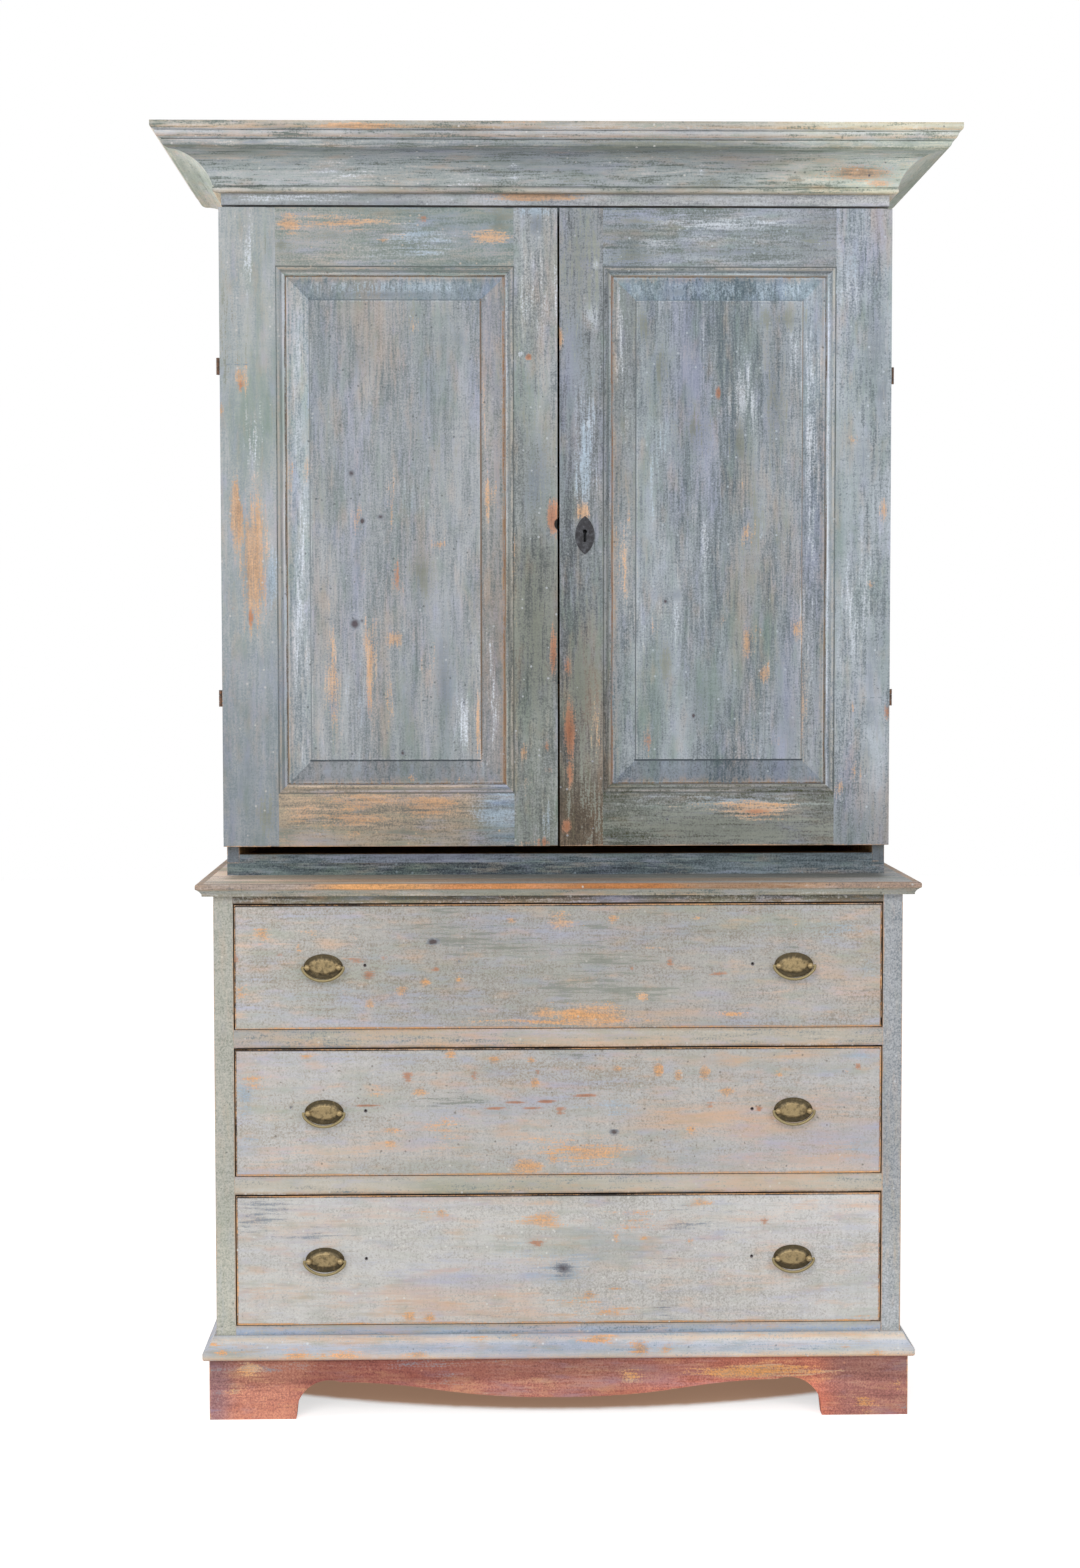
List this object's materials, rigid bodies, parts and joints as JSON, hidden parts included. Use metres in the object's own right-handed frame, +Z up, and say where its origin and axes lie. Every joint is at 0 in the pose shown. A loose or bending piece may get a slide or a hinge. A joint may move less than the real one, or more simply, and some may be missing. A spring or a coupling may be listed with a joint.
{
  "type": "housekeepers cupboard",
  "caption": "Tall painted pine cupboard: a chest of wide drawers with bail handles on an arched plinth, under a shallower case with panelled doors and a deep cornice.",
  "frame": {"origin": "on the floor, under the middle of the whole cupboard's width and depth", "axes": "+X to the right seen from the front, +Y towards the back, +Z up; doors and drawers face -Y"},
  "size_m": [1.282, 0.611, 2.06],
  "materials": {
    "case_paint": "worn matte grey-blue paint on pine",
    "moulding_paint": "worn matte pale grey-blue paint on pine",
    "plinth_paint": "worn matte brick-red paint on pine",
    "door_paint": "streaky matte blue-grey paint on pine",
    "drawer_paint": "streaky matte grey-green paint on pine",
    "bare_pine": "old unpainted pine",
    "hinge_iron": "dark rusty wrought iron",
    "pull_brass": "aged brown brass"
  },
  "bodies": {
    "carcase": {"base_side_left": "case_paint", "base_side_right": "case_paint", "base_top_board": "case_paint", "base_top_moulding": "case_paint", "drawer_rails": "case_paint", "drawer_runners": "bare_pine", "base_bottom_board": "bare_pine", "base_back_boards": "bare_pine", "base_moulding": "moulding_paint", "plinth_front": "plinth_paint", "plinth_boards": "plinth_paint", "plinth_corner_blocks": "bare_pine", "cornice_blocks": "bare_pine", "upper_side_left": "case_paint", "upper_side_right": "case_paint", "upper_top_board": "bare_pine", "upper_bottom_board": "case_paint", "sill_strip": "case_paint", "upper_back_boards": "bare_pine", "upper_front_rail": "case_paint", "frieze_board": "moulding_paint", "cornice_front": "moulding_paint", "cornice_returns": "moulding_paint", "shelves": "bare_pine", "case_hinge_leaves": "hinge_iron"},
    "left_door": {"left_door_hinge_stile": "door_paint", "left_door_meeting_stile": "door_paint", "left_door_top_rail": "door_paint", "left_door_bottom_rail": "door_paint", "left_door_panel": "door_paint", "left_door_hinge_leaves": "hinge_iron", "left_door_bolt_plate": "hinge_iron"},
    "left_door_bolt": {"left_door_bolt": "hinge_iron"},
    "right_door": {"right_door_hinge_stile": "door_paint", "right_door_meeting_stile": "door_paint", "right_door_top_rail": "door_paint", "right_door_bottom_rail": "door_paint", "right_door_panel": "door_paint", "right_door_hinge_leaves": "hinge_iron", "lock_case": "hinge_iron", "escutcheon": "hinge_iron"},
    "lock_bolt": {"lock_bolt": "hinge_iron"},
    "lower_drawer": {"lower_drawer_front": "drawer_paint", "lower_drawer_box": "bare_pine", "lower_drawer_bottom": "bare_pine", "lower_drawer_pull_plates": "pull_brass"},
    "lower_drawer_left_bail": {"lower_drawer_left_bail": "pull_brass"},
    "lower_drawer_right_bail": {"lower_drawer_right_bail": "pull_brass"},
    "middle_drawer": {"middle_drawer_front": "drawer_paint", "middle_drawer_box": "bare_pine", "middle_drawer_bottom": "bare_pine", "middle_drawer_pull_plates": "pull_brass"},
    "middle_drawer_left_bail": {"middle_drawer_left_bail": "pull_brass"},
    "middle_drawer_right_bail": {"middle_drawer_right_bail": "pull_brass"},
    "upper_drawer": {"upper_drawer_front": "drawer_paint", "upper_drawer_box": "bare_pine", "upper_drawer_bottom": "bare_pine", "upper_drawer_pull_plates": "pull_brass"},
    "upper_drawer_left_bail": {"upper_drawer_left_bail": "pull_brass"},
    "upper_drawer_right_bail": {"upper_drawer_right_bail": "pull_brass"}
  },
  "joints": [
    {"name": "left_door_swing", "type": "hinge", "parent": "carcase", "child": "left_door", "pos_m": [-0.5473, -0.1458, 1.425], "axis": [0, 0, -1], "range_deg": [0, 180]},
    {"name": "right_door_swing", "type": "hinge", "parent": "carcase", "child": "right_door", "pos_m": [0.5473, -0.1458, 1.425], "axis": [0, 0, 1], "range_deg": [0, 180]},
    {"name": "left_door_bolt_slide", "type": "slide", "parent": "left_door", "child": "left_door_bolt", "axis": [0, 0, 1], "range_m": [0, 0.022]},
    {"name": "lock_bolt_slide", "type": "slide", "parent": "right_door", "child": "lock_bolt", "axis": [-1, 0, 0], "range_m": [0, 0.009]},
    {"name": "lower_drawer_slide", "type": "slide", "parent": "carcase", "child": "lower_drawer", "axis": [0, -1, 0], "range_m": [0, 0.4]},
    {"name": "lower_drawer_left_bail_swing", "type": "hinge", "parent": "lower_drawer", "child": "lower_drawer_left_bail", "pos_m": [-0.375, -0.2915, 0.255], "axis": [-1, 0, 0], "range_deg": [-15, 100]},
    {"name": "lower_drawer_right_bail_swing", "type": "hinge", "parent": "lower_drawer", "child": "lower_drawer_right_bail", "pos_m": [0.375, -0.2915, 0.255], "axis": [-1, 0, 0], "range_deg": [-15, 100]},
    {"name": "middle_drawer_slide", "type": "slide", "parent": "carcase", "child": "middle_drawer", "axis": [0, -1, 0], "range_m": [0, 0.4]},
    {"name": "middle_drawer_left_bail_swing", "type": "hinge", "parent": "middle_drawer", "child": "middle_drawer_left_bail", "pos_m": [-0.375, -0.2915, 0.4935], "axis": [-1, 0, 0], "range_deg": [-15, 100]},
    {"name": "middle_drawer_right_bail_swing", "type": "hinge", "parent": "middle_drawer", "child": "middle_drawer_right_bail", "pos_m": [0.375, -0.2915, 0.4935], "axis": [-1, 0, 0], "range_deg": [-15, 100]},
    {"name": "upper_drawer_slide", "type": "slide", "parent": "carcase", "child": "upper_drawer", "axis": [0, -1, 0], "range_m": [0, 0.4]},
    {"name": "upper_drawer_left_bail_swing", "type": "hinge", "parent": "upper_drawer", "child": "upper_drawer_left_bail", "pos_m": [-0.375, -0.2915, 0.727], "axis": [-1, 0, 0], "range_deg": [-15, 100]},
    {"name": "upper_drawer_right_bail_swing", "type": "hinge", "parent": "upper_drawer", "child": "upper_drawer_right_bail", "pos_m": [0.375, -0.2915, 0.727], "axis": [-1, 0, 0], "range_deg": [-15, 100]}
  ]
}
